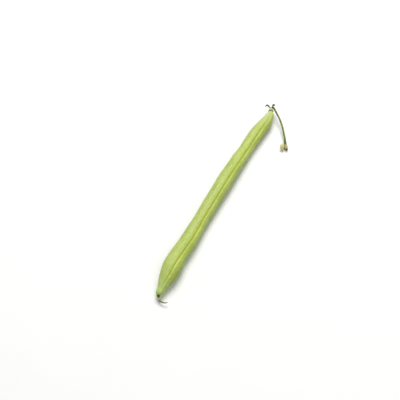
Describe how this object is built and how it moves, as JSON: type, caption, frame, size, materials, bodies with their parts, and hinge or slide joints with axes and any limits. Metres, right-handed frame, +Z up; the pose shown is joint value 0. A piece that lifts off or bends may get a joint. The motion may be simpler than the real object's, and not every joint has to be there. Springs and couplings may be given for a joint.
{
  "type": "green bean",
  "caption": "Fresh slim green bean lying on its side, with a curled dry tail at its beak and its calyx, bracteoles and curved stalk at the other end.",
  "frame": {"origin": "on the surface that the bean lies on, under the centre of its bounding box", "axes": "+X along the pod from its beak to its stalk, +Y to the left of that, away from the stalk's free end, +Z up from the surface that it lies on"},
  "size_m": [0.1392, 0.0246, 0.009],
  "materials": {
    "pod_skin": "fresh green pod skin, satin, with a faint fuzz, yellow-green along the suture and brown at the beak",
    "calyx": "dry, matte, cream to olive brown",
    "dry_bract": "withered leaf, matte, dark olive brown",
    "stalk": "fresh stalk, satin, olive green turning brown towards its ends, with a tan torn end",
    "dry_scale": "dry scale leaf, matte, cream"
  },
  "bodies": {
    "root": {"pod": "pod_skin", "calyx": "calyx", "bracteole_left": "dry_bract", "bracteole_right": "dry_bract", "stalk": "stalk", "scale_leaf": "dry_scale"}
  },
  "joints": []
}
